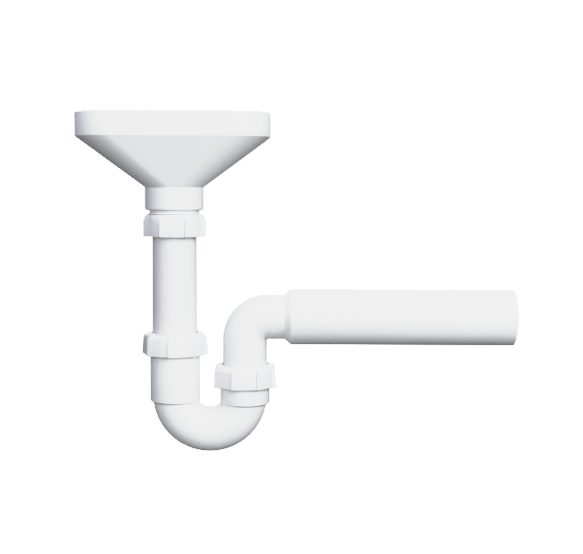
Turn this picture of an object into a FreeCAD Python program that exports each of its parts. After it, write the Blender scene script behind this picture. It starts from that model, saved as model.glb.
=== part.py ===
import FreeCAD, Part
import math
import os

# Funnel P-trap: an open funnel drains through a dip tube and a U-bend into a 50 mm wall pipe.
# Millimetres. The origin is the centre of the wall pipe's open end, +X points out of the pipe
# and +Z is up. The whole trap is symmetric about the plane Y = 0, apart from threads and teeth.

# ---- Driving dimensions ----

# Tubes
tube_od = 40.0
tube_wall = 1.8
wall_pipe_od = 50.0
wall_pipe_wall = 1.8
wall_pipe_length = 201.5
reducer_length = 5.6
pipe_edge_round = 0.5

# Elbow: the throat is the radius left at the inside of the turn
elbow_throat = 0.7
elbow_run = 15.3
outlet_leg_length = 45.3

# U-bend and its two sockets, whose heights are counted from the centre of the bend
bend_throat = 11.75
slip_clearance = 0.3
socket_wall = 2.2
inlet_socket_height = 48.5
outlet_socket_height = 19.5
inlet_skirt = 5.5
outlet_skirt = 7.5
skirt_chamfer = 1.2
stop_height = 1.5
mouth_flare = 1.7
mouth_flare_depth = 5.0

# How far each tube's end stays above the stop in its socket
inlet_end_gap = 15.0
outlet_end_gap = 4.0

# Threads, 1 1/2 inch, right-hand
thread_pitch = 2.309
thread_depth = 1.4
thread_crest = 0.55
thread_base = 1.7
thread_sink = 0.3
thread_lead = 1.5
socket_thread_length = 7.0
funnel_thread_length = 11.4
thread_clearance = 0.35

# Nuts
nut_wall = 2.8
nut_plate = 3.0
nut_hole_clearance = 0.9
slip_nut_height = 20.0
slip_nut_draft = 0.8
slip_nut_shoulder_drop = 5.4
slip_nut_shoulder_width = 5.4
union_nut_height = 19.5
union_nut_chamfer_height = 2.6
union_nut_chamfer_width = 2.2
nut_foot_chamfer = 0.7
tooth_count = 8
tooth_height = 2.4
tooth_land = 21.0

# Where the first tooth stands, in degrees from the front (-Y) towards +X
union_nut_turn = -21.5
inlet_nut_turn = -6.5
outlet_nut_turn = -22.0

# Seals and pressure rings
seal_fit = 0.08
seal_seat_gap = 0.1
seal_depth = 4.0
seal_flange = 3.0
seal_flange_gap = 0.85
ring_fit = 0.4
ring_gap = 0.65
ring_thickness = 3.0

# Dip tube and its flange
dip_tube_length = 133.5
flange_thickness = 2.5
flange_gap = 1.25
gasket_thickness = 2.5
gasket_gap = 0.4

# Funnel
funnel_length = 172.0
funnel_width = 100.0
funnel_corner = 36.0
funnel_wall = 2.5
rim_height = 20.8
rim_edge_round = 0.7
cone_height = 44.6
cone_floor_rise = 1.2
collar_step = 2.5
collar_height = 20.5
collar_chamfer = 1.2
neck_length = 15.3
neck_wall = 2.9
throat_height = 3.0
throat_slope = 4.5

# ---- Sizes and places that follow ----

tube_r = tube_od / 2
bore_r = tube_r - tube_wall
wall_pipe_r = wall_pipe_od / 2
wall_pipe_bore_r = wall_pipe_r - wall_pipe_wall
socket_bore_r = tube_r + slip_clearance
socket_r = socket_bore_r + socket_wall
crest_r = socket_r + thread_depth
nut_bore_r = crest_r + thread_clearance
nut_r = nut_bore_r + nut_wall
nut_hole_r = tube_r + nut_hole_clearance
elbow_radius = tube_r + elbow_throat
bend_radius = tube_r + bend_throat
collar_r = crest_r + collar_step

outlet_x = -(wall_pipe_length + reducer_length + elbow_run + elbow_radius)
inlet_x = outlet_x - 2 * bend_radius
outlet_leg_end = -elbow_radius - outlet_leg_length
stop_z = outlet_leg_end - outlet_end_gap
bend_z = stop_z - stop_height
outlet_mouth = bend_z + outlet_socket_height
inlet_mouth = bend_z + inlet_socket_height
dip_tube_end = stop_z + inlet_end_gap
flange_top = dip_tube_end + dip_tube_length
flange_bottom = flange_top - flange_thickness
funnel_end = flange_top + gasket_thickness
collar_bottom = funnel_end + neck_length
cone_bottom = collar_bottom + collar_height
rim_bottom = cone_bottom + cone_height
rim_top = rim_bottom + rim_height

# How far cutting tools run past the faces that they cut
overrun = 5.0

UP = FreeCAD.Vector(0, 0, 1)
ALONG = FreeCAD.Vector(1, 0, 0)


# ---- Shape helpers ----

def point(x, y, z):
    return FreeCAD.Vector(x, y, z)


def turned(outline):
    """Solid turned about the Z axis from a closed outline of (radius, height) corners."""
    corners = [point(radius, 0, height) for radius, height in outline]
    face = Part.Face(Part.makePolygon(corners + corners[:1]))
    return face.revolve(point(0, 0, 0), UP, 360)


def ring(inner, outer, bottom, top):
    return turned([(inner, bottom), (outer, bottom), (outer, top), (inner, top)])


def joined(first, *others):
    """One clean solid from solids that touch or overlap."""
    shape = first.multiFuse(list(others)).removeSplitter()
    return shape.Solids[0]


def cut_clean(body, tool):
    return body.cut(tool).removeSplitter().Solids[0]


def disc(centre, normal, radius):
    return Part.Face(Part.Wire(Part.makeCircle(radius, centre, normal)))


def rounded_circles(solid, size, chosen):
    """The solid with a small round on each circular edge that chosen(edge) picks."""
    edges = [edge for edge in solid.Edges if chosen(edge)]
    return solid.makeFillet(size, edges).Solids[0]


def thread_ridge(root_radius, length):
    """Right-hand ridge that climbs from height zero on a cylinder of root_radius."""
    inner = root_radius - thread_sink
    outer = root_radius + thread_depth
    corners = [
        point(inner, 0, -thread_base / 2),
        point(outer, 0, -thread_crest / 2),
        point(outer, 0, thread_crest / 2),
        point(inner, 0, thread_base / 2),
    ]
    section = Part.makePolygon(corners + corners[:1])
    helix = Part.Wire(Part.makeHelix(thread_pitch, length, root_radius))
    return helix.makePipeShell([section], True, True)


def tooth_corner(radius, degrees, height):
    """Point at an angle counted from the front (-Y) towards +X."""
    angle = math.radians(degrees)
    return point(radius * math.sin(angle), -radius * math.cos(angle), height)


def nut_teeth(first, bottom, top, bottom_r, top_r):
    """Ratchet teeth: a steep riser, then a land that slopes back to the nut's wall."""
    teeth = []
    for index in range(tooth_count):
        riser = first + index * 360.0 / tooth_count
        wires = []
        for height, radius in ((bottom, bottom_r), (top, top_r)):
            corners = [
                tooth_corner(radius - nut_wall / 2, riser, height),
                tooth_corner(radius + tooth_height, riser, height),
                tooth_corner(radius, riser + tooth_land, height),
                tooth_corner(radius - nut_wall / 2, riser + tooth_land, height),
            ]
            wires.append(Part.makePolygon(corners + corners[:1]))
        teeth.append(Part.makeLoft(wires, True, True))
    return teeth


# ---- Sub-parts, each about its own axis, then put in its place ----

def outlet_run(small_r, large_r, past_end):
    """The solid rod of the outlet's path: leg, elbow, run, reducer and wall pipe."""
    leg_height = outlet_leg_length + past_end
    leg = Part.makeCylinder(small_r, leg_height, point(outlet_x, 0, -elbow_radius - leg_height))
    foot = disc(point(outlet_x, 0, -elbow_radius), UP, small_r)
    elbow = foot.revolve(point(outlet_x + elbow_radius, 0, -elbow_radius), point(0, 1, 0), 90)
    run = Part.makeCylinder(small_r, elbow_run, point(outlet_x + elbow_radius, 0, 0), ALONG)
    reducer_x = -(wall_pipe_length + reducer_length)
    reducer = Part.makeCone(small_r, large_r, reducer_length, point(reducer_x, 0, 0), ALONG)
    pipe_length = wall_pipe_length + past_end
    pipe = Part.makeCylinder(large_r, pipe_length, point(-wall_pipe_length, 0, 0), ALONG)
    return joined(leg, elbow, run, reducer, pipe)


def make_outlet_bend():
    outside = outlet_run(tube_r, wall_pipe_r, 0)
    inside = outlet_run(bore_r, wall_pipe_bore_r, overrun)
    bend = cut_clean(outside, inside)
    return rounded_circles(bend, pipe_edge_round, lambda edge: edge.BoundBox.XMin > -pipe_edge_round)


def bend_rod(radius):
    """The solid rod of the U-bend's half turn."""
    start = disc(point(inlet_x, 0, bend_z), UP, radius)
    return start.revolve(point(inlet_x + bend_radius, 0, bend_z), point(0, -1, 0), 180)


def socket_outside(x, mouth, skirt):
    outline = [
        (0, bend_z - skirt),
        (socket_r - skirt_chamfer, bend_z - skirt),
        (socket_r, bend_z - skirt + skirt_chamfer),
        (socket_r, mouth),
        (0, mouth),
    ]
    ridge = thread_ridge(socket_r, socket_thread_length)
    ridge.translate(point(0, 0, mouth - thread_lead - socket_thread_length))
    socket = joined(turned(outline), ridge)
    socket.translate(point(x, 0, 0))
    return socket


def socket_inside(x, mouth):
    outline = [
        (0, bend_z),
        (bore_r, bend_z),
        (bore_r, stop_z),
        (socket_bore_r, stop_z),
        (socket_bore_r, mouth - mouth_flare_depth),
        (socket_bore_r + mouth_flare, mouth),
        (socket_bore_r + mouth_flare, mouth + overrun),
        (0, mouth + overrun),
    ]
    hole = turned(outline)
    hole.translate(point(x, 0, 0))
    return hole


def make_trap_bend():
    inlet = socket_outside(inlet_x, inlet_mouth, inlet_skirt)
    outlet = socket_outside(outlet_x, outlet_mouth, outlet_skirt)
    outside = joined(bend_rod(tube_r), inlet, outlet)
    inlet_hole = socket_inside(inlet_x, inlet_mouth)
    outlet_hole = socket_inside(outlet_x, outlet_mouth)
    inside = joined(bend_rod(bore_r), inlet_hole, outlet_hole)
    return cut_clean(outside, inside)


def slip_nut_outside(extra, foot_z, top_z):
    """Turned outside of a slip nut: a rounded shoulder on top and a wall that widens downwards."""
    shoulder_r = nut_r + extra
    foot_r = shoulder_r + slip_nut_draft
    inner_r = nut_r - slip_nut_shoulder_width
    width = shoulder_r - inner_r
    low = top_z - slip_nut_shoulder_drop
    middle_r = inner_r + width * math.sin(math.radians(45))
    middle_z = low + slip_nut_shoulder_drop * math.sin(math.radians(45))
    axis_top = point(0, 0, top_z)
    axis_foot = point(0, 0, foot_z)
    shoulder = Part.Arc(point(inner_r, 0, top_z), point(middle_r, 0, middle_z),
                        point(shoulder_r, 0, low))
    corners = [
        point(shoulder_r, 0, low),
        point(foot_r, 0, foot_z + nut_foot_chamfer),
        point(foot_r - nut_foot_chamfer, 0, foot_z),
        axis_foot,
        axis_top,
        point(inner_r, 0, top_z),
    ]
    edges = [shoulder.toShape()]
    for start, end in zip(corners, corners[1:]):
        edges.append(Part.makeLine(start, end))
    return Part.Face(Part.Wire(edges)).revolve(point(0, 0, 0), UP, 360)


def nut_inside(foot_z, plate_z):
    """The room inside a nut: the bore that clears the thread, and the hole for the tube."""
    bore = Part.makeCylinder(nut_bore_r, plate_z - foot_z + overrun, point(0, 0, foot_z - overrun))
    hole = Part.makeCylinder(nut_hole_r, plate_z - foot_z + 3 * overrun, point(0, 0, foot_z - overrun))
    return joined(bore, hole)


def make_slip_nut(x, mouth, first_tooth):
    plate_z = mouth + seal_flange + ring_thickness
    top_z = plate_z + nut_plate
    foot_z = top_z - slip_nut_height
    body = slip_nut_outside(0, foot_z, top_z)
    envelope = slip_nut_outside(tooth_height, foot_z, top_z)
    teeth = nut_teeth(first_tooth, foot_z, top_z, nut_r + slip_nut_draft, nut_r)
    trimmed = [tooth.common(envelope) for tooth in teeth]
    nut = cut_clean(joined(body, *trimmed), nut_inside(foot_z, plate_z))
    nut.translate(point(x, 0, 0))
    return nut


def make_inlet_nut():
    return make_slip_nut(inlet_x, inlet_mouth, inlet_nut_turn)


def make_outlet_nut():
    return make_slip_nut(outlet_x, outlet_mouth, outlet_nut_turn)


def union_nut_outside(extra, foot_z, top_z):
    """Turned outside of the union nut; wider teeth are cut back by the same chamfer cone."""
    wall_r = nut_r + extra
    cone_height = union_nut_chamfer_height * (union_nut_chamfer_width + extra) / union_nut_chamfer_width
    return turned([
        (0, foot_z),
        (wall_r, foot_z),
        (wall_r, top_z - cone_height),
        (nut_r - union_nut_chamfer_width, top_z),
        (0, top_z),
    ])


def make_funnel_nut():
    """Union nut with its plate at the bottom, under the dip tube's flange."""
    foot_z = flange_bottom - nut_plate
    top_z = foot_z + union_nut_height
    body = union_nut_outside(0, foot_z, top_z)
    envelope = union_nut_outside(tooth_height, foot_z, top_z)
    teeth = nut_teeth(union_nut_turn, foot_z, top_z, nut_r, nut_r)
    trimmed = [tooth.common(envelope) for tooth in teeth]
    bore = Part.makeCylinder(nut_bore_r, union_nut_height, point(0, 0, flange_bottom))
    hole = Part.makeCylinder(nut_hole_r, union_nut_height, point(0, 0, foot_z - overrun))
    nut = cut_clean(joined(body, *trimmed), joined(bore, hole))
    nut.translate(point(inlet_x, 0, 0))
    return nut


def make_wedge_seal(x, mouth):
    inner = tube_r + seal_fit
    seat_r = socket_bore_r + mouth_flare - seal_seat_gap
    tip_r = seat_r - mouth_flare * seal_depth / mouth_flare_depth
    outer = nut_bore_r - seal_flange_gap
    seal = turned([
        (inner, mouth - seal_depth),
        (tip_r, mouth - seal_depth),
        (seat_r, mouth),
        (outer, mouth),
        (outer, mouth + seal_flange),
        (inner, mouth + seal_flange),
    ])
    seal.translate(point(x, 0, 0))
    return seal


def make_pressure_ring(x, mouth):
    bottom = mouth + seal_flange
    piece = ring(tube_r + ring_fit, nut_bore_r - ring_gap, bottom, bottom + ring_thickness)
    piece.translate(point(x, 0, 0))
    return piece


def make_dip_tube():
    flange_r = nut_bore_r - flange_gap
    tube = turned([
        (bore_r, dip_tube_end),
        (tube_r, dip_tube_end),
        (tube_r, flange_bottom),
        (flange_r, flange_bottom),
        (flange_r, flange_top),
        (bore_r, flange_top),
    ])
    tube.translate(point(inlet_x, 0, 0))
    return tube


def make_flat_gasket():
    gasket = ring(bore_r, socket_r - gasket_gap, flange_top, funnel_end)
    gasket.translate(point(inlet_x, 0, 0))
    return gasket


def tray_outline(length, width, corner, height):
    """Edges of a rounded rectangle as four corner arcs, each with its quarter's angles."""
    arcs = []
    for start in (0, 90, 180, 270):
        middle = math.radians(start + 45)
        x = math.copysign(length / 2 - corner, math.cos(middle))
        y = math.copysign(width / 2 - corner, math.sin(middle))
        arcs.append(Part.makeCircle(corner, point(x, y, height), UP, start, start + 90))
    return arcs


def ends_of(arc):
    return arc.Vertexes[0].Point, arc.Vertexes[-1].Point


def funnel_skin(length, width, corner, top, throat_r, low):
    """Solid between a rounded rectangle above and a circle below, with ruled corners."""
    upper = tray_outline(length, width, corner, top)
    lower = tray_outline(2 * throat_r, 2 * throat_r, throat_r, low)
    faces = []
    top_edges = []
    for index in range(4):
        following = (index + 1) % 4
        faces.append(Part.makeRuledSurface(lower[index], upper[index]))
        side_start = ends_of(upper[index])[1]
        side_end = ends_of(upper[following])[0]
        foot = ends_of(lower[index])[1]
        faces.append(Part.Face(Part.makePolygon([side_start, side_end, foot, side_start])))
        top_edges += [upper[index], Part.makeLine(side_start, side_end)]
    faces.append(Part.Face(Part.Wire(top_edges)))
    faces.append(Part.Face(Part.Wire(lower)))
    shell = Part.makeShell(faces)
    shell.sewShape()
    return Part.makeSolid(shell)


def tray_block(length, width, corner, low, high):
    edges = []
    arcs = tray_outline(length, width, corner, low)
    for index in range(4):
        side_start = ends_of(arcs[index])[1]
        side_end = ends_of(arcs[(index + 1) % 4])[0]
        edges += [arcs[index], Part.makeLine(side_start, side_end)]
    return Part.Face(Part.Wire(edges)).extrude(point(0, 0, high - low))


def funnel_outside():
    rim = tray_block(funnel_length, funnel_width, funnel_corner, rim_bottom, rim_top)
    cone = funnel_skin(funnel_length, funnel_width, funnel_corner, rim_bottom, collar_r, cone_bottom)
    collar = turned([
        (0, collar_bottom),
        (collar_r - collar_chamfer, collar_bottom),
        (collar_r, collar_bottom + collar_chamfer),
        (collar_r, cone_bottom),
        (0, cone_bottom),
    ])
    neck = Part.makeCylinder(socket_r, neck_length, point(0, 0, funnel_end))
    ridge = thread_ridge(socket_r, funnel_thread_length)
    ridge.translate(point(0, 0, funnel_end + thread_lead))
    return joined(rim, cone, collar, joined(neck, ridge))


def funnel_inside():
    length = funnel_length - 2 * funnel_wall
    width = funnel_width - 2 * funnel_wall
    corner = funnel_corner - funnel_wall
    throat_r = collar_r - funnel_wall
    neck_bore_r = socket_r - neck_wall
    low = cone_bottom + cone_floor_rise
    high = rim_bottom + cone_floor_rise
    bowl = tray_block(length, width, corner, high, rim_top + overrun)
    cone = funnel_skin(length, width, corner, high, throat_r, low)
    throat_z = collar_bottom + throat_height
    throat = turned([
        (0, funnel_end - overrun),
        (neck_bore_r, funnel_end - overrun),
        (neck_bore_r, throat_z),
        (throat_r, throat_z + throat_slope),
        (throat_r, low),
        (0, low),
    ])
    return joined(bowl, cone, throat)


def make_funnel():
    funnel = cut_clean(funnel_outside(), funnel_inside())
    funnel = rounded_circles(funnel, rim_edge_round,
                             lambda edge: edge.BoundBox.ZMin > rim_top - rim_edge_round)
    funnel.translate(point(inlet_x, 0, 0))
    return funnel


def main():
    os.makedirs("parts", exist_ok=True)
    nodes = {
        "funnel": make_funnel(),
        "funnel_nut": make_funnel_nut(),
        "flat_gasket": make_flat_gasket(),
        "dip_tube": make_dip_tube(),
        "inlet_nut": make_inlet_nut(),
        "inlet_pressure_ring": make_pressure_ring(inlet_x, inlet_mouth),
        "inlet_wedge_seal": make_wedge_seal(inlet_x, inlet_mouth),
        "trap_bend": make_trap_bend(),
        "outlet_nut": make_outlet_nut(),
        "outlet_pressure_ring": make_pressure_ring(outlet_x, outlet_mouth),
        "outlet_wedge_seal": make_wedge_seal(outlet_x, outlet_mouth),
        "outlet_bend": make_outlet_bend(),
    }
    for name, shape in nodes.items():
        shape.exportStep("parts/" + name + ".step")
        box = shape.BoundBox
        print("%-22s %-8s valid=%s solids=%d volume=%.1f mm3 x %.1f..%.1f y %.1f..%.1f z %.1f..%.1f" % (
            name, shape.ShapeType, shape.isValid(), len(shape.Solids), shape.Volume,
            box.XMin, box.XMax, box.YMin, box.YMax, box.ZMin, box.ZMax))


main()
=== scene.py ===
import bpy
import math
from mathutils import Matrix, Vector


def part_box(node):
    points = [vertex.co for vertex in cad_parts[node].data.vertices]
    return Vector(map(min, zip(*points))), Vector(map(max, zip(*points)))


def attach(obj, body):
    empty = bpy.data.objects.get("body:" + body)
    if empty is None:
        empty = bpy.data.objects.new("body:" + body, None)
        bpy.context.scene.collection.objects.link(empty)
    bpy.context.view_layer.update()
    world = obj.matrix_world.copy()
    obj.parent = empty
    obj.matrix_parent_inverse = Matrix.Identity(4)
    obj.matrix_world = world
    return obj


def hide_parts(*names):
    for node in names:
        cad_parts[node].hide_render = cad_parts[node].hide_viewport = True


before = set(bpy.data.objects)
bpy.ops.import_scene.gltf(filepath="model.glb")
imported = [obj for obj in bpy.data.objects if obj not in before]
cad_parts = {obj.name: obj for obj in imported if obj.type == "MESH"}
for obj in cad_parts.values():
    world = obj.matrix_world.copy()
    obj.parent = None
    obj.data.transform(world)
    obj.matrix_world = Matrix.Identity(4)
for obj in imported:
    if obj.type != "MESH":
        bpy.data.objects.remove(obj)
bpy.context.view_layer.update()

# A funnel P-trap in white plastic: funnel, union nut, dip tube, slip nuts, U-bend, elbow and wall pipe.
# Metres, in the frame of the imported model.

MM = 0.001

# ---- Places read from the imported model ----

funnel_low, funnel_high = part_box("funnel")
tube_low, tube_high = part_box("dip_tube")
trap_low, trap_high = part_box("trap_bend")
pipe_low, pipe_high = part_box("outlet_bend")
seal_low, seal_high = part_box("outlet_wedge_seal")
union_low, union_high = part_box("funnel_nut")
inlet_nut_low, inlet_nut_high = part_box("inlet_nut")
outlet_nut_low, outlet_nut_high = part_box("outlet_nut")

INLET_X = (tube_low.x + tube_high.x) / 2
OUTLET_X = (seal_low.x + seal_high.x) / 2
FLANGE_R = (tube_high.x - tube_low.x) / 2
TUBE_R = OUTLET_X - pipe_low.x
WALL_PIPE_R = pipe_high.z
BEND_R = (OUTLET_X - INLET_X) / 2
BEND_Z = trap_low.z + BEND_R + TUBE_R
RIM_TOP = funnel_high.z
FUNNEL_END = funnel_low.z

# ---- Sizes of the pieces ----

TUBE_WALL = 1.8 * MM
TUBE_BORE_R = TUBE_R - TUBE_WALL
FLANGE_THICKNESS = 2.5 * MM
ELBOW_R = TUBE_R + 0.7 * MM
ELBOW_RUN = 15.3 * MM
REDUCER_LENGTH = 5.6 * MM

SOCKET_R = 22.5 * MM
SOCKET_BORE_R = 20.3 * MM
SEAL_DEPTH = 4.0 * MM
SEAL_CLEARANCE = 0.08 * MM
SEAT_CLEARANCE = 0.1 * MM
RING_CLEARANCE = 0.4 * MM
CONTACT_GAP = 0.03 * MM
INLET_MOUTH = trap_high.z
OUTLET_MOUTH = seal_low.z + SEAL_DEPTH
INLET_SKIRT = 5.5 * MM
OUTLET_SKIRT = 7.5 * MM
SKIRT_CHAMFER = 1.2 * MM
FOOT_LEDGE = 0.6 * MM
STOP_Z = BEND_Z + 1.5 * MM
MOUTH_FLARE = 1.7 * MM
MOUTH_FLARE_DEPTH = 5.0 * MM

THREAD_PITCH = 2.309 * MM
THREAD_DEPTH = 1.4 * MM
THREAD_SINK = 0.3 * MM
THREAD_LEAD = 1.5 * MM
CREST_R = SOCKET_R + THREAD_DEPTH
THREAD_BASE = 1.7 * MM
THREAD_CREST = 0.55 * MM
THREAD_RUN_OUT = THREAD_PITCH * 0.6
THREAD_LEAST = 0.02
SOCKET_THREAD = 7.0 * MM
FUNNEL_THREAD = 11.4 * MM
NUT_THREAD_DEPTH = 0.6 * MM
NUT_THREAD_BASE = 1.3 * MM
NUT_THREAD_CREST = 0.35 * MM
UNION_THREAD_START = 8.5 * MM
UNION_THREAD = 9.0 * MM
SLIP_THREAD_START = 1.0 * MM
SLIP_THREAD = 8.0 * MM

NUT_BORE_R = CREST_R + 0.35 * MM
NUT_WALL_R = NUT_BORE_R + 2.8 * MM
NUT_HOLE_R = TUBE_R + 0.9 * MM
NUT_PLATE = 3.0 * MM
NUT_FOOT_CHAMFER = 0.7 * MM
TOOTH_HEIGHT = 2.4 * MM
TOOTH_LAND = 21.0
TOOTH_RISER = 0.6
TEETH = 8
UNION_TURN = -21.5
INLET_TURN = -6.5
OUTLET_TURN = -22.0
SLIP_NUT_DRAFT = 0.8 * MM
SHOULDER_DROP = 5.4 * MM
SHOULDER_WIDTH = 5.4 * MM
SHOULDER_ARC = range(0, 91, 15)
UNION_CHAMFER_HEIGHT = 2.6 * MM
UNION_CHAMFER_WIDTH = 2.2 * MM

FUNNEL_CORNER = 36.0 * MM
FUNNEL_WALL = 2.5 * MM
RIM_HEIGHT = 20.8 * MM
CONE_HEIGHT = 44.6 * MM
COLLAR_R = CREST_R + 2.5 * MM
COLLAR_HEIGHT = 20.5 * MM
COLLAR_CHAMFER = 1.2 * MM
CONE_FLOOR_RISE = 1.2 * MM
NECK_WALL = 2.9 * MM
THROAT_HEIGHT = 3.0 * MM
THROAT_SLOPE = 4.5 * MM

# Roundings of the edges
FUNNEL_EDGE = 0.7 * MM
NUT_EDGE = 0.3 * MM
TUBE_EDGE = 0.4 * MM
TRAP_EDGE = 0.35 * MM
PIPE_EDGE = 0.5 * MM
GASKET_EDGE = 0.25 * MM
RING_EDGE = 0.4 * MM
SEAL_EDGE = 0.15 * MM
SMOOTH_ANGLE = 35

# Corners nearer than this are one corner, and places nearer than this are the same place
MERGE = 0.01 * MM
CORNER_MERGE = 0.001 * MM

# Margins that tell a nut's outer wall from its bore, and its shoulder from its plate
WALL_MARGIN = 0.5 * MM
PLATE_MARGIN = 0.1 * MM

# Facets round a full circle, along the two bends and along the land of a tooth
ROUND_STEPS = 128
CORNER_STEPS = ROUND_STEPS // 4
BEND_STEPS = 72
ELBOW_STEPS = 40
LAND_STEPS = 5


# ---- Modelling helpers ----

def clear_selection():
    """Leaves edit mode and selects nothing, so that the next operator acts only on its own piece."""
    if bpy.context.object and bpy.context.object.mode == "EDIT":
        bpy.ops.object.mode_set(mode="OBJECT")
    bpy.ops.object.select_all(action="DESELECT")


def pick(piece):
    clear_selection()
    piece.select_set(True)
    bpy.context.view_layer.objects.active = piece


def apply_modifier(piece, kind, **settings):
    pick(piece)
    modifier = piece.modifiers.new(kind.lower(), kind)
    for setting, value in settings.items():
        setattr(modifier, setting, value)
    bpy.ops.object.modifier_apply(modifier=modifier.name)


def round_edges(piece, width, segments=3, angle=32):
    """Rounds every edge that turns by more than angle degrees."""
    apply_modifier(piece, "BEVEL", width=width, segments=segments, limit_method="ANGLE",
                   angle_limit=math.radians(angle), use_clamp_overlap=True, miter_outer="MITER_ARC")


def edit(piece, select="SELECT"):
    pick(piece)
    bpy.ops.object.mode_set(mode="EDIT")
    bpy.ops.mesh.select_mode(type="VERT")
    bpy.ops.mesh.select_all(action=select)


def face_outwards(piece):
    """Merges doubled corners and turns every face outwards."""
    edit(piece)
    bpy.ops.mesh.remove_doubles(threshold=MERGE)
    bpy.ops.mesh.select_all(action="SELECT")
    bpy.ops.mesh.normals_make_consistent(inside=False)
    clear_selection()


def move_to(piece, x):
    """Puts a piece that was made about the Z axis on its own vertical axis, in its mesh."""
    pick(piece)
    piece.location.x = x
    bpy.ops.object.transform_apply(location=True, rotation=True, scale=True)
    clear_selection()


def sync():
    """Writes the edit mesh back, so that its selection and places can be read."""
    bpy.ops.object.mode_set(mode="OBJECT")
    bpy.ops.object.mode_set(mode="EDIT")


def step_loop(start, end, centre=(0, 0)):
    """Extrudes the selected loop from one (radius, height) to the next about a vertical axis."""
    rise = end[1] - start[1]
    grow = end[0] / start[0]
    bpy.ops.mesh.extrude_region_move(TRANSFORM_OT_translate={"value": (0, 0, rise)})
    bpy.ops.transform.resize(value=(grow, grow, 1), center_override=(*centre, end[1]))


def new_circle(name, radius, height):
    clear_selection()
    bpy.ops.mesh.primitive_circle_add(vertices=ROUND_STEPS, radius=radius, location=(0, 0, 0))
    circle = bpy.context.object
    circle.name = name
    edit(circle)
    bpy.ops.transform.translate(value=(0, 0, height))
    return circle


def turned(name, outline):
    """A ring turned about the Z axis: one circle, extruded round a closed outline."""
    piece = new_circle(name, *outline[0])
    for start, end in zip(outline, outline[1:] + outline[:1]):
        step_loop(start, end)
    face_outwards(piece)
    return piece


def join_into(piece, *others):
    clear_selection()
    for other in others:
        other.select_set(True)
    piece.select_set(True)
    bpy.context.view_layer.objects.active = piece
    bpy.ops.object.join()
    clear_selection()


def select_where(piece, condition):
    """Selects, in edit mode, the corners of a piece whose place meets a condition."""
    edit(piece, "DESELECT")
    bpy.ops.object.mode_set(mode="OBJECT")
    for vertex in piece.data.vertices:
        vertex.select = condition(vertex.co)
    bpy.ops.object.mode_set(mode="EDIT")


def thread_ridge(name, root_r, depth, base, crest, low, length):
    """A right-hand thread ridge with run-out ends. A negative depth points it inwards."""
    sign = math.copysign(1, depth)
    sunk_r = root_r - sign * THREAD_SINK
    corners = [
        (sunk_r, -base / 2),
        (root_r + depth, -crest / 2),
        (root_r + depth, crest / 2),
        (sunk_r, base / 2),
    ]
    clear_selection()
    bpy.ops.mesh.primitive_circle_add(vertices=4, radius=root_r, location=(0, 0, 0))
    ridge = bpy.context.object
    ridge.name = name
    for vertex, (radius, height) in zip(ridge.data.vertices, corners):
        vertex.co = (radius, 0, height + low)
    turns = length / THREAD_PITCH
    apply_modifier(ridge, "SCREW", angle=2 * math.pi * turns, screw_offset=length,
                   steps=int(ROUND_STEPS * turns), render_steps=int(ROUND_STEPS * turns),
                   use_normal_calculate=True)
    for vertex in ridge.data.vertices:
        from_end = min(vertex.co.z - low, low + length - vertex.co.z) + base / 2
        keep = max(THREAD_LEAST, min(1.0, from_end / THREAD_RUN_OUT))
        radius = math.hypot(vertex.co.x, vertex.co.y)
        shrunk = sunk_r + (radius - sunk_r) * keep
        vertex.co.x *= shrunk / radius
        vertex.co.y *= shrunk / radius
    cap_ends(ridge)
    face_outwards(ridge)
    return ridge


def cap_ends(ridge):
    """Closes a tube-like mesh at its two open ends."""
    edit(ridge, "DESELECT")
    bpy.ops.mesh.select_non_manifold()
    bpy.ops.mesh.fill_holes(sides=0)
    clear_selection()


def smooth(piece):
    """Shades a piece smooth, but for edges that turn by more than SMOOTH_ANGLE."""
    pick(piece)
    bpy.ops.object.shade_smooth_by_angle(angle=math.radians(SMOOTH_ANGLE))
    clear_selection()


# ---- Funnel and its nut ----

def tray_loop(name, length, width, corner, height):
    """A rounded rectangle loop, one arc in each corner."""
    clear_selection()
    bpy.ops.mesh.primitive_plane_add(size=1, location=(0, 0, 0))
    tray = bpy.context.object
    tray.name = name
    edit(tray)
    bpy.ops.transform.resize(value=(length, width, 1))
    bpy.ops.transform.translate(value=(0, 0, height))
    bpy.ops.mesh.bevel(offset=corner, offset_type="OFFSET", segments=CORNER_STEPS, affect="VERTICES")
    bpy.ops.mesh.select_all(action="SELECT")
    bpy.ops.mesh.delete(type="ONLY_FACE")
    bpy.ops.mesh.select_all(action="SELECT")
    return tray


def reshape_corners(tray, height, corner_x, corner_y, shrink, gather):
    """Scales the corner arcs at a height about their centres, or gathers them round the axis."""
    bpy.ops.object.mode_set(mode="OBJECT")
    for vertex in tray.data.vertices:
        if vertex.select and abs(vertex.co.z - height) < MERGE:
            centre_x = math.copysign(corner_x, vertex.co.x)
            centre_y = math.copysign(corner_y, vertex.co.y)
            vertex.co.x = (vertex.co.x - centre_x) * shrink + (0 if gather else centre_x)
            vertex.co.y = (vertex.co.y - centre_y) * shrink + (0 if gather else centre_y)
    bpy.ops.object.mode_set(mode="EDIT")


def draw(x=0.0, z=0.0):
    """Extrudes the selected loop by a move along the axes."""
    bpy.ops.mesh.extrude_region_move(TRANSFORM_OT_translate={"value": (x, 0, z)})


def cone_and_neck(tray, corner, corner_x, corner_y, outline):
    """Draws a skin of the funnel from its rim's lower edge down to the end of its neck."""
    throat_r, cone_bottom = outline[0]
    rim_bottom = next(v.co.z for v in tray.data.vertices if v.select)
    draw(z=cone_bottom - rim_bottom)
    reshape_corners(tray, cone_bottom, corner_x, corner_y, throat_r / corner, True)
    bpy.ops.mesh.remove_doubles(threshold=CORNER_MERGE)
    for start, end in zip(outline, outline[1:]):
        step_loop(start, end)


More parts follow.
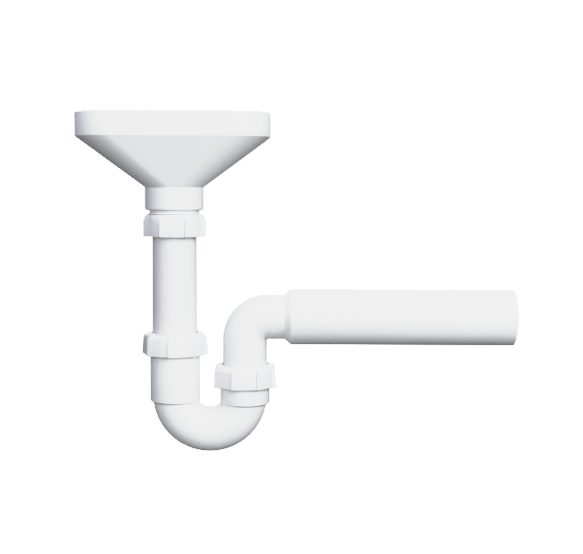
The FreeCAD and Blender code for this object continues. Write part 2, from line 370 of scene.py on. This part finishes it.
def make_funnel():
    """One loop drawn down the outside, and the rim's loop drawn in, down the inside and out again."""
    length = funnel_high.x - funnel_low.x
    width = funnel_high.y - funnel_low.y
    corner_x = length / 2 - FUNNEL_CORNER
    corner_y = width / 2 - FUNNEL_CORNER
    cone_bottom = RIM_TOP - RIM_HEIGHT - CONE_HEIGHT
    collar_bottom = cone_bottom - COLLAR_HEIGHT
    inner_corner = FUNNEL_CORNER - FUNNEL_WALL
    throat_r = COLLAR_R - FUNNEL_WALL
    neck_bore_r = SOCKET_R - NECK_WALL
    funnel = tray_loop("funnel_shell", length, width, FUNNEL_CORNER, RIM_TOP)
    draw(z=-RIM_HEIGHT)
    sync()
    cone_and_neck(funnel, FUNNEL_CORNER, corner_x, corner_y, [
        (COLLAR_R, cone_bottom),
        (COLLAR_R, collar_bottom + COLLAR_CHAMFER),
        (COLLAR_R - COLLAR_CHAMFER, collar_bottom),
        (SOCKET_R, collar_bottom),
        (SOCKET_R, FUNNEL_END),
    ])
    select_where(funnel, lambda co: co.z > RIM_TOP - MERGE)
    draw()
    reshape_corners(funnel, RIM_TOP, corner_x, corner_y, inner_corner / FUNNEL_CORNER, False)
    draw(z=CONE_FLOOR_RISE - RIM_HEIGHT)
    sync()
    cone_and_neck(funnel, inner_corner, corner_x, corner_y, [
        (throat_r, cone_bottom + CONE_FLOOR_RISE),
        (throat_r, collar_bottom + THROAT_HEIGHT + THROAT_SLOPE),
        (neck_bore_r, collar_bottom + THROAT_HEIGHT),
        (neck_bore_r, FUNNEL_END),
        (SOCKET_R, FUNNEL_END),
    ])
    face_outwards(funnel)
    round_edges(funnel, FUNNEL_EDGE, segments=4, angle=20)
    ridge = thread_ridge("funnel_thread", SOCKET_R, THREAD_DEPTH, THREAD_BASE, THREAD_CREST,
                         FUNNEL_END + THREAD_LEAD, FUNNEL_THREAD)
    smooth(ridge)
    smooth(funnel)
    join_into(funnel, ridge)
    move_to(funnel, INLET_X)
    return funnel


def tooth_rise(turn, radius, height):
    """How far a ratchet tooth stands off the wall, at an angle past its riser: its land is flat."""
    if turn < TOOTH_RISER:
        return height * turn / TOOTH_RISER
    land = math.radians(TOOTH_LAND - TOOTH_RISER)
    past = math.radians(turn - TOOTH_RISER)
    if past >= land:
        return 0.0
    crest = radius + height
    chord = crest * math.sin(past) + radius * math.sin(land - past)
    return crest * radius * math.sin(land) / chord - radius


def shape_teeth(nut, first_riser, is_outside, tooth_height):
    """Turns a nut's corners to its first riser and moves those of its outer wall on to the teeth."""
    steps = ROUND_STEPS // TEETH
    pitch = 360.0 / TEETH
    stops = [0.0, TOOTH_RISER]
    stops += [TOOTH_RISER + (TOOTH_LAND - TOOTH_RISER) * (i + 1) / LAND_STEPS for i in range(LAND_STEPS)]
    wall_steps = steps - len(stops)
    stops += [TOOTH_LAND + (pitch - TOOTH_LAND) * (i + 1) / (wall_steps + 1) for i in range(wall_steps)]
    for vertex in nut.data.vertices:
        radius = math.hypot(vertex.co.x, vertex.co.y)
        index = round(math.degrees(math.atan2(vertex.co.y, vertex.co.x)) * ROUND_STEPS / 360.0)
        tooth, step = divmod(index % ROUND_STEPS, steps)
        turn = stops[step]
        if is_outside(vertex.co):
            radius += tooth_rise(turn, radius, tooth_height(vertex.co.z, radius))
        angle = math.radians(first_riser + tooth * pitch + turn)
        vertex.co.x = radius * math.sin(angle)
        vertex.co.y = -radius * math.cos(angle)


def nut_thread(name, low, length):
    return thread_ridge(name, NUT_BORE_R, -NUT_THREAD_DEPTH, NUT_THREAD_BASE, NUT_THREAD_CREST, low, length)


def make_funnel_nut():
    """Union nut: flat plate below, open and chamfered above."""
    foot, top = union_low.z, union_high.z
    slope = UNION_CHAMFER_WIDTH / UNION_CHAMFER_HEIGHT
    tooth_top = top - UNION_CHAMFER_HEIGHT - TOOTH_HEIGHT / slope

    def tooth_height(height, radius):
        cone = NUT_WALL_R - UNION_CHAMFER_WIDTH + (top - height) * slope
        return max(0.0, min(TOOTH_HEIGHT, cone - radius))

    def is_outside(co):
        return math.hypot(co.x, co.y) > NUT_BORE_R + WALL_MARGIN

    nut = turned("funnel_union_nut", [
        (NUT_HOLE_R, foot),
        (NUT_WALL_R, foot),
        (NUT_WALL_R, tooth_top),
        (NUT_WALL_R, top - UNION_CHAMFER_HEIGHT),
        (NUT_WALL_R - UNION_CHAMFER_WIDTH, top),
        (NUT_BORE_R, top),
        (NUT_BORE_R, foot + NUT_PLATE),
        (NUT_HOLE_R, foot + NUT_PLATE),
    ])
    shape_teeth(nut, UNION_TURN, is_outside, tooth_height)
    round_edges(nut, NUT_EDGE, segments=2)
    ridge = nut_thread("union_nut_thread", foot + UNION_THREAD_START, UNION_THREAD)
    smooth(nut)
    smooth(ridge)
    join_into(nut, ridge)
    move_to(nut, INLET_X)
    return nut


def make_slip_nut(name, low, high, x, first_riser):
    """Slip nut: rounded shoulder above, open below, its wall a little wider at the foot."""
    foot, top = low.z, high.z
    inner_r = NUT_WALL_R - SHOULDER_WIDTH
    shoulder_z = top - SHOULDER_DROP
    plate = top - NUT_PLATE
    outline = [
        (NUT_WALL_R + SLIP_NUT_DRAFT - NUT_FOOT_CHAMFER, foot),
        (NUT_WALL_R + SLIP_NUT_DRAFT, foot + NUT_FOOT_CHAMFER),
    ]
    for degrees in SHOULDER_ARC:
        angle = math.radians(degrees)
        outline.append((
            inner_r + SHOULDER_WIDTH * math.cos(angle),
            shoulder_z + SHOULDER_DROP * math.sin(angle),
        ))
    outline += [
        (NUT_HOLE_R, top),
        (NUT_HOLE_R, plate),
        (NUT_BORE_R, plate),
        (NUT_BORE_R, foot),
    ]

    def is_outside(co):
        radius = math.hypot(co.x, co.y)
        on_shoulder = co.z > plate + PLATE_MARGIN and radius > inner_r - PLATE_MARGIN
        return radius > NUT_BORE_R + WALL_MARGIN or on_shoulder

    def tooth_height(height, radius):
        return TOOTH_HEIGHT * max(0.0, min(1.0, (radius - inner_r) / SHOULDER_WIDTH))

    nut = turned(name, outline)
    shape_teeth(nut, first_riser, is_outside, tooth_height)
    round_edges(nut, NUT_EDGE, segments=2)
    ridge = nut_thread(name + "_thread", foot + SLIP_THREAD_START, SLIP_THREAD)
    smooth(nut)
    smooth(ridge)
    join_into(nut, ridge)
    move_to(nut, x)
    return nut


# ---- Tubes and bends ----

def make_dip_tube():
    tube = turned("dip_tube_drawn", [
        (TUBE_BORE_R, tube_low.z),
        (TUBE_R, tube_low.z),
        (TUBE_R, tube_high.z - FLANGE_THICKNESS),
        (FLANGE_R, tube_high.z - FLANGE_THICKNESS),
        (FLANGE_R, tube_high.z),
        (TUBE_BORE_R, tube_high.z),
    ])
    round_edges(tube, TUBE_EDGE)
    smooth(tube)
    move_to(tube, INLET_X)
    return tube


def bend_point(around, along):
    """Point on the U-bend's outside: around the tube from its outer line, along from the inlet."""
    reach = BEND_R + TUBE_R * math.cos(around)
    return (
        INLET_X + BEND_R - reach * math.cos(along),
        TUBE_R * math.sin(around),
        BEND_Z - reach * math.sin(along),
    )


def skirt_turn(around, skirt):
    """How far along the bend, from its end, the bend's outside meets the foot of a socket."""
    return math.asin(skirt / (BEND_R + TUBE_R * math.cos(around)))


def on_foot(co, x, skirt):
    """Whether a corner is on the lower edge of the socket about the vertical axis at x."""
    radius = math.hypot(co.x - x, co.y)
    at_foot_radius = abs(radius - SOCKET_R + SKIRT_CHAMFER) < MERGE
    return at_foot_radius and abs(co.z - BEND_Z + skirt) < MERGE


def seat_bend_under_sockets(trap):
    """Slides the loops of the outer bend along it, so that its ends lie flat in the sockets' feet."""
    for vertex in trap.data.vertices:
        co = vertex.co
        across = co.x - INLET_X - BEND_R
        reach = math.hypot(across, co.z - BEND_Z)
        from_core = math.hypot(reach - BEND_R, co.y)
        if co.z > BEND_Z + MERGE or abs(from_core - TUBE_R) > MERGE:
            continue
        if on_foot(co, INLET_X, INLET_SKIRT) or on_foot(co, OUTLET_X, OUTLET_SKIRT):
            continue
        around = math.atan2(co.y, reach - BEND_R)
        along = math.atan2(max(0.0, BEND_Z - co.z), -across)
        start = skirt_turn(around, INLET_SKIRT)
        end = math.pi - skirt_turn(around, OUTLET_SKIRT)
        vertex.co = bend_point(around, start + (end - start) * along / math.pi)


def blend_skirts(trap):
    """Lets each socket's foot run out into the bend between the legs, where the bend is wider."""
    for vertex in trap.data.vertices:
        for x, skirt, outward in ((INLET_X, INLET_SKIRT, -1), (OUTLET_X, OUTLET_SKIRT, 1)):
            if not on_foot(vertex.co, x, skirt):
                continue
            around = math.atan2(vertex.co.y, outward * (vertex.co.x - x))
            turn = skirt_turn(around, skirt)
            meets = bend_point(around, turn if outward < 0 else math.pi - turn)
            if math.hypot(meets[0] - x, meets[1]) > SOCKET_R - SKIRT_CHAMFER - FOOT_LEDGE:
                vertex.co = meets


def socket_outline(mouth, skirt):
    """Half section of a socket from its foot, up the outside and down its bore to the bend."""
    return [
        (SOCKET_R - SKIRT_CHAMFER, BEND_Z - skirt),
        (SOCKET_R, BEND_Z - skirt + SKIRT_CHAMFER),
        (SOCKET_R, mouth),
        (SOCKET_BORE_R + MOUTH_FLARE, mouth),
        (SOCKET_BORE_R, mouth - MOUTH_FLARE_DEPTH),
        (SOCKET_BORE_R, STOP_Z),
        (TUBE_BORE_R, STOP_Z),
        (TUBE_BORE_R, BEND_Z),
    ]


def socket_thread(name, x, mouth):
    ridge = thread_ridge(name, SOCKET_R, THREAD_DEPTH, THREAD_BASE, THREAD_CREST,
                         mouth - THREAD_LEAD - SOCKET_THREAD, SOCKET_THREAD)
    smooth(ridge)
    move_to(ridge, x)
    return ridge


def make_trap_bend():
    """One loop: up the inlet socket, down its bore, round the bend inside, and back outside."""
    inlet = socket_outline(INLET_MOUTH, INLET_SKIRT)
    outlet = socket_outline(OUTLET_MOUTH, OUTLET_SKIRT)[::-1]
    middle = (INLET_X + BEND_R, 0, BEND_Z)
    trap = new_circle("trap_bend_moulded", *inlet[0])
    bpy.ops.transform.translate(value=(INLET_X, 0, 0))
    for start, end in zip(inlet, inlet[1:]):
        step_loop(start, end, (INLET_X, 0))
    bpy.ops.mesh.spin(steps=BEND_STEPS, angle=math.pi, center=middle, axis=(0, 1, 0))
    for start, end in zip(outlet, outlet[1:]):
        step_loop(start, end, (OUTLET_X, 0))
    step_loop(outlet[-1], (TUBE_R, BEND_Z), (OUTLET_X, 0))
    bpy.ops.mesh.spin(steps=BEND_STEPS, angle=math.pi, center=middle, axis=(0, -1, 0))
    step_loop((TUBE_R, BEND_Z), inlet[0], (INLET_X, 0))
    face_outwards(trap)
    seat_bend_under_sockets(trap)
    blend_skirts(trap)
    face_outwards(trap)
    round_edges(trap, TRAP_EDGE, segments=2)
    smooth(trap)
    join_into(trap, socket_thread("inlet_thread", INLET_X, INLET_MOUTH),
              socket_thread("outlet_thread", OUTLET_X, OUTLET_MOUTH))
    return trap


def make_outlet_bend():
    """One loop: along the leg, elbow, run, reducer and wall pipe outside, and back inside."""
    leg = -ELBOW_R - pipe_low.z
    pipe_start = OUTLET_X + ELBOW_R + ELBOW_RUN + REDUCER_LENGTH
    pipe_bore_r = WALL_PIPE_R - TUBE_WALL
    elbow_middle = (OUTLET_X + ELBOW_R, 0, -ELBOW_R)

    def change_width(x, ratio):
        bpy.ops.transform.resize(value=(1, ratio, ratio), center_override=(x, 0, 0))

    bend = new_circle("outlet_bend_moulded", TUBE_R, pipe_low.z)
    bpy.ops.transform.translate(value=(OUTLET_X, 0, 0))
    draw(z=leg)
    bpy.ops.mesh.spin(steps=ELBOW_STEPS, angle=math.pi / 2, center=elbow_middle, axis=(0, -1, 0))
    draw(x=ELBOW_RUN)
    draw(x=REDUCER_LENGTH)
    change_width(pipe_start, WALL_PIPE_R / TUBE_R)
    draw(x=-pipe_start)
    draw()
    change_width(0, pipe_bore_r / WALL_PIPE_R)
    draw(x=pipe_start)
    draw(x=-REDUCER_LENGTH)
    change_width(pipe_start - REDUCER_LENGTH, TUBE_BORE_R / pipe_bore_r)
    draw(x=-ELBOW_RUN)
    bpy.ops.mesh.spin(steps=ELBOW_STEPS, angle=math.pi / 2, center=elbow_middle, axis=(0, 1, 0))
    draw(z=-leg)
    step_loop((TUBE_BORE_R, pipe_low.z), (TUBE_R, pipe_low.z), (OUTLET_X, 0))
    face_outwards(bend)
    round_edges(bend, PIPE_EDGE)
    smooth(bend)
    return bend


# ---- Rings and seals ----

def ring_like(name, node, inner_r, x, rounding):
    low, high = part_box(node)
    outer_r = (high.x - low.x) / 2
    foot, top = low.z + CONTACT_GAP, high.z - CONTACT_GAP
    ring = turned(name, [(inner_r, foot), (outer_r, foot), (outer_r, top), (inner_r, top)])
    round_edges(ring, rounding)
    smooth(ring)
    move_to(ring, x)
    return ring


def make_wedge_seal(name, node, x):
    low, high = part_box(node)
    outer_r = (high.x - low.x) / 2
    inner_r = TUBE_R + SEAL_CLEARANCE
    seat_r = SOCKET_BORE_R + MOUTH_FLARE - SEAT_CLEARANCE
    mouth = low.z + SEAL_DEPTH
    tip_r = seat_r - MOUTH_FLARE * SEAL_DEPTH / MOUTH_FLARE_DEPTH
    seal = turned(name, [
        (inner_r, low.z),
        (tip_r, low.z),
        (seat_r, mouth + CONTACT_GAP),
        (outer_r, mouth + CONTACT_GAP),
        (outer_r, high.z - CONTACT_GAP),
        (inner_r, high.z - CONTACT_GAP),
    ])
    round_edges(seal, SEAL_EDGE)
    smooth(seal)
    move_to(seal, x)
    return seal


# ---- Finishes ----

SPECKS_PER_METRE = 700.0
SPECK_SHARE = 0.2
HANDLING_PER_METRE = 35.0


def new_group(name, inputs, output):
    group = bpy.data.node_groups.new(name, "ShaderNodeTree")
    for label, kind, value in inputs:
        socket = group.interface.new_socket(label, in_out="INPUT", socket_type=kind)
        socket.default_value = value
    group.interface.new_socket(output[0], in_out="OUTPUT", socket_type=output[1])
    return group


def add(tree, kind, **settings):
    node = tree.nodes.new(kind)
    for setting, value in settings.items():
        setattr(node, setting, value)
    return node


def maths(tree, operation, first, second=0.5):
    node = add(tree, "ShaderNodeMath", operation=operation)
    for socket, value in zip(node.inputs, (first, second)):
        if isinstance(value, (int, float)):
            socket.default_value = value
        else:
            tree.links.new(value, socket)
    return node.outputs[0]


def noise(tree, vector, scale, detail):
    node = add(tree, "ShaderNodeTexNoise")
    node.inputs["Detail"].default_value = detail
    tree.links.new(vector, node.inputs["Vector"])
    if isinstance(scale, (int, float)):
        node.inputs["Scale"].default_value = scale
    else:
        tree.links.new(scale, node.inputs["Scale"])
    return node.outputs["Fac"]


def mould_grain_group():
    """Height of the fine grain that a spark-eroded mould leaves on plastic."""
    group = new_group("mould grain", [("Grain per metre", "NodeSocketFloat", 1800.0),
                                      ("Waves per metre", "NodeSocketFloat", 55.0),
                                      ("Wave share", "NodeSocketFloat", 0.5)],
                      ("Height", "NodeSocketFloat"))
    inputs = group.nodes.new("NodeGroupInput")
    outputs = group.nodes.new("NodeGroupOutput")
    place = add(group, "ShaderNodeTexCoord").outputs["Object"]
    grain = noise(group, place, inputs.outputs["Grain per metre"], 2.0)
    waves = noise(group, place, inputs.outputs["Waves per metre"], 1.0)
    tall = maths(group, "MULTIPLY", waves, inputs.outputs["Wave share"])
    group.links.new(maths(group, "ADD", grain, tall), outputs.inputs["Height"])
    return group


def draw_line_group():
    """Height of the faint lines that run along a tube drawn through a die."""
    group = new_group("draw lines", [("Lines per metre", "NodeSocketFloat", 900.0)],
                      ("Height", "NodeSocketFloat"))
    inputs = group.nodes.new("NodeGroupInput")
    outputs = group.nodes.new("NodeGroupOutput")
    stretch = add(group, "ShaderNodeMapping")
    stretch.inputs["Scale"].default_value = (1.0, 1.0, 0.01)
    group.links.new(add(group, "ShaderNodeTexCoord").outputs["Object"], stretch.inputs["Vector"])
    lines = noise(group, stretch.outputs["Vector"], inputs.outputs["Lines per metre"], 2.0)
    group.links.new(lines, outputs.inputs["Height"])
    return group


def parting_line_group():
    """Height of the fine raised line where the two halves of the mould met, on the plane Y = 0."""
    group = new_group("parting line", [("Half width", "NodeSocketFloat", 0.00022)],
                      ("Height", "NodeSocketFloat"))
    inputs = group.nodes.new("NodeGroupInput")
    outputs = group.nodes.new("NodeGroupOutput")
    split = add(group, "ShaderNodeSeparateXYZ")
    group.links.new(add(group, "ShaderNodeTexCoord").outputs["Object"], split.inputs["Vector"])
    away = maths(group, "DIVIDE", maths(group, "ABSOLUTE", split.outputs["Y"]), inputs.outputs["Half width"])
    ridge = add(group, "ShaderNodeMath", operation="SUBTRACT", use_clamp=True)
    ridge.inputs[0].default_value = 1.0
    group.links.new(away, ridge.inputs[1])
    group.links.new(ridge.outputs[0], outputs.inputs["Height"])
    return group


def tone_drift_group():
    """Slow drift between two close tones of one plastic, with a little fine mottling."""
    group = new_group("tone drift", [("Tone", "NodeSocketColor", (0.8, 0.8, 0.8, 1)),
                                     ("Other tone", "NodeSocketColor", (0.7, 0.7, 0.7, 1)),
                                     ("Patches per metre", "NodeSocketFloat", 22.0)],
                      ("Color", "NodeSocketColor"))
    inputs = group.nodes.new("NodeGroupInput")
    outputs = group.nodes.new("NodeGroupOutput")
    place = add(group, "ShaderNodeTexCoord").outputs["Object"]
    patches = noise(group, place, inputs.outputs["Patches per metre"], 3.0)
    specks = noise(group, place, SPECKS_PER_METRE, 1.0)
    slow = maths(group, "MULTIPLY", patches, 1 - SPECK_SHARE)
    share = maths(group, "ADD", slow, maths(group, "MULTIPLY", specks, SPECK_SHARE))
    mix = add(group, "ShaderNodeMix", data_type="RGBA")
    group.links.new(share, mix.inputs["Factor"])
    group.links.new(inputs.outputs["Tone"], mix.inputs["A"])
    group.links.new(inputs.outputs["Other tone"], mix.inputs["B"])
    group.links.new(mix.outputs["Result"], outputs.inputs["Color"])
    return group


def handling_group():
    """Roughness that varies with handling: slightly polished patches and faint scuffs."""
    group = new_group("handling", [("Smooth", "NodeSocketFloat", 0.35), ("Rough", "NodeSocketFloat", 0.5)],
                      ("Roughness", "NodeSocketFloat"))
    inputs = group.nodes.new("NodeGroupInput")
    outputs = group.nodes.new("NodeGroupOutput")
    place = add(group, "ShaderNodeTexCoord").outputs["Object"]
    patches = noise(group, place, HANDLING_PER_METRE, 4.0)
    spread = maths(group, "SUBTRACT", inputs.outputs["Rough"], inputs.outputs["Smooth"])
    value = maths(group, "ADD", inputs.outputs["Smooth"], maths(group, "MULTIPLY", patches, spread))
    group.links.new(value, outputs.inputs["Roughness"])
    return group


GRAIN = mould_grain_group()
DRAW_LINES = draw_line_group()
PARTING = parting_line_group()
TONES = tone_drift_group()
HANDLING = handling_group()


def place_group(tree, group, **values):
    node = tree.nodes.new("ShaderNodeGroup")
    node.node_tree = group
    for label, value in values.items():
        node.inputs[label.replace("_", " ")].default_value = value
    return node.outputs[0]


def bump(tree, height, distance, under=None):
    node = add(tree, "ShaderNodeBump")
    node.inputs["Strength"].default_value = 1.0
    node.inputs["Distance"].default_value = distance
    tree.links.new(height, node.inputs["Height"])
    if under is not None:
        tree.links.new(under, node.inputs["Normal"])
    return node.outputs["Normal"]


def base_material(name, tone, other_tone, smooth_at, rough_at, ior):
    material = bpy.data.materials.new(name)
    material.use_nodes = True
    tree = material.node_tree
    shader = tree.nodes["Principled BSDF"]
    shader.inputs["IOR"].default_value = ior
    colour = place_group(tree, TONES, Tone=(*tone, 1), Other_tone=(*other_tone, 1))
    tree.links.new(colour, shader.inputs["Base Color"])
    tree.links.new(place_group(tree, HANDLING, Smooth=smooth_at, Rough=rough_at), shader.inputs["Roughness"])
    return material, tree, shader


def moulded_plastic(name, tone, other_tone, parting):
    material, tree, shader = base_material(name, tone, other_tone, *MOULDED_SHEEN, PLASTIC_IOR)
    normal = bump(tree, place_group(tree, GRAIN), GRAIN_HEIGHT)
    if parting:
        normal = bump(tree, place_group(tree, PARTING), PARTING_HEIGHT, normal)
    tree.links.new(normal, shader.inputs["Normal"])
    return material


def drawn_plastic(name, tone, other_tone):
    material, tree, shader = base_material(name, tone, other_tone, *DRAWN_SHEEN, PLASTIC_IOR)
    normal = bump(tree, place_group(tree, DRAW_LINES), DRAW_LINE_HEIGHT)
    tree.links.new(normal, shader.inputs["Normal"])
    return material


def soft_rubber(name):
    material, tree, shader = base_material(name, RUBBER, RUBBER_SHADE, *RUBBER_SHEEN, RUBBER_IOR)
    normal = bump(tree, place_group(tree, GRAIN, Grain_per_metre=2600.0), RUBBER_GRAIN_HEIGHT)
    tree.links.new(normal, shader.inputs["Normal"])
    return material


WHITE = (0.86, 0.865, 0.87)
WHITE_SHADE = (0.83, 0.835, 0.845)
NUT_WHITE = (0.85, 0.855, 0.865)
NUT_SHADE = (0.815, 0.82, 0.835)
NATURAL = (0.78, 0.78, 0.75)
NATURAL_SHADE = (0.72, 0.72, 0.69)
RUBBER = (0.035, 0.035, 0.038)
RUBBER_SHADE = (0.055, 0.055, 0.058)
PLASTIC_IOR = 1.49
RUBBER_IOR = 1.52

# Roughness where a surface is polished by handling, and where it is not
MOULDED_SHEEN = (0.34, 0.50)
DRAWN_SHEEN = (0.30, 0.44)
RUBBER_SHEEN = (0.55, 0.75)

# Heights, in metres, that the fine marks stand out of the surface
GRAIN_HEIGHT = 0.00003
PARTING_HEIGHT = 0.00012
DRAW_LINE_HEIGHT = 0.00002
RUBBER_GRAIN_HEIGHT = 0.00005


# ---- Putting the pieces on their bodies ----

def fit(piece, body, node, material):
    piece.data.materials.clear()
    piece.data.materials.append(material)
    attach(piece, body)
    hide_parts(node)


def build_pieces():
    funnel_finish = moulded_plastic("funnel plastic", WHITE, WHITE_SHADE, False)
    bend_finish = moulded_plastic("bend plastic", WHITE, WHITE_SHADE, True)
    nut_finish = moulded_plastic("nut plastic", NUT_WHITE, NUT_SHADE, False)
    tube_finish = drawn_plastic("tube plastic", WHITE, WHITE_SHADE)
    ring_finish = moulded_plastic("ring plastic", NATURAL, NATURAL_SHADE, False)
    rubber = soft_rubber("seal rubber")
    slip_r = TUBE_R + RING_CLEARANCE

    fit(make_funnel(), "funnel", "funnel", funnel_finish)
    fit(make_funnel_nut(), "funnel_nut", "funnel_nut", nut_finish)
    fit(make_dip_tube(), "dip_tube", "dip_tube", tube_finish)
    fit(make_slip_nut("inlet_slip_nut", inlet_nut_low, inlet_nut_high, INLET_X, INLET_TURN),
        "inlet_nut", "inlet_nut", nut_finish)
    fit(make_slip_nut("outlet_slip_nut", outlet_nut_low, outlet_nut_high, OUTLET_X, OUTLET_TURN),
        "outlet_nut", "outlet_nut", nut_finish)
    fit(make_trap_bend(), "trap", "trap_bend", bend_finish)
    fit(make_outlet_bend(), "outlet", "outlet_bend", bend_finish)
    fit(ring_like("gasket_flat", "flat_gasket", TUBE_BORE_R, INLET_X, GASKET_EDGE),
        "gasket", "flat_gasket", rubber)
    fit(ring_like("inlet_slip_ring", "inlet_pressure_ring", slip_r, INLET_X, RING_EDGE),
        "inlet_ring", "inlet_pressure_ring", ring_finish)
    fit(ring_like("outlet_slip_ring", "outlet_pressure_ring", slip_r, OUTLET_X, RING_EDGE),
        "outlet_ring", "outlet_pressure_ring", ring_finish)
    fit(make_wedge_seal("inlet_cone_seal", "inlet_wedge_seal", INLET_X),
        "trap", "inlet_wedge_seal", rubber)
    fit(make_wedge_seal("outlet_cone_seal", "outlet_wedge_seal", OUTLET_X),
        "outlet_seal", "outlet_wedge_seal", rubber)


# ---- Stage, light and camera ----

CAMERA_PLACE = (-0.2058, -1.0206, 0.1251)
CAMERA_DOWN = math.radians(4.97)
CAMERA_LEAN = math.radians(0.26)
CAMERA_RIGHT = math.radians(0.24)
LENS = 70.0
SENSOR_WIDTH = 36.0
FLOOR_Z = -0.45
FLOOR_SIZE = 40

# Brightness of the floor and the world where the camera sees them past the object
BACKDROP = 2.3
FLOOR_TINT = (0.07, 0.07, 0.075, 1)
FLOOR_ROUGHNESS = 0.9
ROOM_TINT = (0.82, 0.89, 1.0, 1)

# How the room brightens with height: from and to which upward share of a direction, and how bright
ROOM_RISE = (("From Min", -0.2), ("From Max", 0.4), ("To Min", 0.03), ("To Max", 0.5))

# Name, place, size, power and tint of each lamp, and the point at which all of them aim
LAMPS = [
    ("key_light", (1.1, -1.5, 0.9), (1.4, 1.2), 30.0, (1.0, 1.0, 0.99)),
    ("front_light", (-0.5, -2.2, 0.35), (1.8, 1.0), 24.0, (1.0, 1.0, 1.0)),
    ("top_light", (-0.2, 0.0, 1.6), (1.6, 1.2), 12.0, (1.0, 1.0, 1.0)),
    ("back_light", (-0.5, 2.1, 0.5), (1.8, 1.2), 16.0, (1.0, 1.0, 1.0)),
]
LAMP_AIM = (-0.2, 0.0, 0.03)

# The film's response: light in, as a share of the curve's white, and tone out. Past STRAIGHT_FROM
# the points are joined by straight lines
CURVE_WHITE = 2.0
STRAIGHT_FROM = 0.6
RESPONSE = [(0.0, 0.0), (0.13, 0.24), (0.25, 0.52), (0.35, 0.78), (0.42, 0.845), (0.55, 0.868),
            (0.9, 0.895), (1.0, 1.0)]


def make_stage():
    clear_selection()
    bpy.ops.mesh.primitive_plane_add(size=FLOOR_SIZE, location=(0, 0, FLOOR_Z))
    floor = bpy.context.object
    floor.name = "studio_floor"
    paper = bpy.data.materials.new("pale paper")
    paper.use_nodes = True
    tree = paper.node_tree
    tree.nodes["Principled BSDF"].inputs["Base Color"].default_value = FLOOR_TINT
    tree.nodes["Principled BSDF"].inputs["Roughness"].default_value = FLOOR_ROUGHNESS
    glow = add(tree, "ShaderNodeEmission")
    glow.inputs["Color"].default_value = (1, 1, 1, 1)
    glow.inputs["Strength"].default_value = BACKDROP
    seen = add(tree, "ShaderNodeLightPath")
    mix = add(tree, "ShaderNodeMixShader")
    tree.links.new(seen.outputs["Is Camera Ray"], mix.inputs["Fac"])
    tree.links.new(tree.nodes["Principled BSDF"].outputs["BSDF"], mix.inputs[1])
    tree.links.new(glow.outputs["Emission"], mix.inputs[2])
    tree.links.new(mix.outputs["Shader"], tree.nodes["Material Output"].inputs["Surface"])
    floor.data.materials.append(paper)


def make_world():
    """White where the camera looks past the object; elsewhere a cool room, darker towards its floor."""
    world = bpy.data.worlds.new("studio room")
    world.use_nodes = True
    bpy.context.scene.world = world
    tree = world.node_tree
    tree.nodes.clear()
    seen = add(tree, "ShaderNodeLightPath")
    white = add(tree, "ShaderNodeBackground")
    white.inputs["Color"].default_value = (1, 1, 1, 1)
    white.inputs["Strength"].default_value = BACKDROP
    room = add(tree, "ShaderNodeBackground")
    room.inputs["Color"].default_value = ROOM_TINT
    split = add(tree, "ShaderNodeSeparateXYZ")
    tree.links.new(add(tree, "ShaderNodeTexCoord").outputs["Generated"], split.inputs["Vector"])
    rise = add(tree, "ShaderNodeMapRange")
    for label, value in ROOM_RISE:
        rise.inputs[label].default_value = value
    tree.links.new(split.outputs["Z"], rise.inputs["Value"])
    tree.links.new(rise.outputs["Result"], room.inputs["Strength"])
    mix = add(tree, "ShaderNodeMixShader")
    tree.links.new(seen.outputs["Is Camera Ray"], mix.inputs["Fac"])
    tree.links.new(room.outputs["Background"], mix.inputs[1])
    tree.links.new(white.outputs["Background"], mix.inputs[2])
    output = add(tree, "ShaderNodeOutputWorld")
    tree.links.new(mix.outputs["Shader"], output.inputs["Surface"])


def soft_box(name, place, size, power, tint):
    clear_selection()
    bpy.ops.object.light_add(type="AREA", location=place)
    lamp = bpy.context.object
    lamp.name = name
    lamp.data.shape = "RECTANGLE"
    lamp.data.size, lamp.data.size_y = size
    lamp.data.energy = power
    lamp.data.color = tint
    away = lamp.location - type(lamp.location)(LAMP_AIM)
    lamp.rotation_mode = "QUATERNION"
    lamp.rotation_quaternion = away.to_track_quat("Z", "Y")


def make_camera():
    clear_selection()
    turn = (math.pi / 2 - CAMERA_DOWN, -CAMERA_LEAN, -CAMERA_RIGHT)
    bpy.ops.object.camera_add(location=CAMERA_PLACE, rotation=turn)
    camera = bpy.context.object
    camera.data.lens = LENS
    camera.data.sensor_width = SENSOR_WIDTH
    bpy.context.scene.camera = camera


def set_response():
    """Tones of an airy studio shot: whites roll off softly, below the pure white backdrop."""
    view = bpy.context.scene.view_settings
    view.view_transform = "Standard"
    view.use_curve_mapping = True
    mapping = view.curve_mapping
    mapping.white_level = (CURVE_WHITE, CURVE_WHITE, CURVE_WHITE)
    points = mapping.curves[3].points
    points[0].location = RESPONSE[0]
    points[1].location = RESPONSE[-1]
    points[1].handle_type = "VECTOR"
    for place in RESPONSE[1:-1]:
        points.new(*place).handle_type = "VECTOR" if place[0] > STRAIGHT_FROM else "AUTO"
    mapping.update()


build_pieces()
make_stage()
make_world()
for lamp in LAMPS:
    soft_box(*lamp)
make_camera()
set_response()
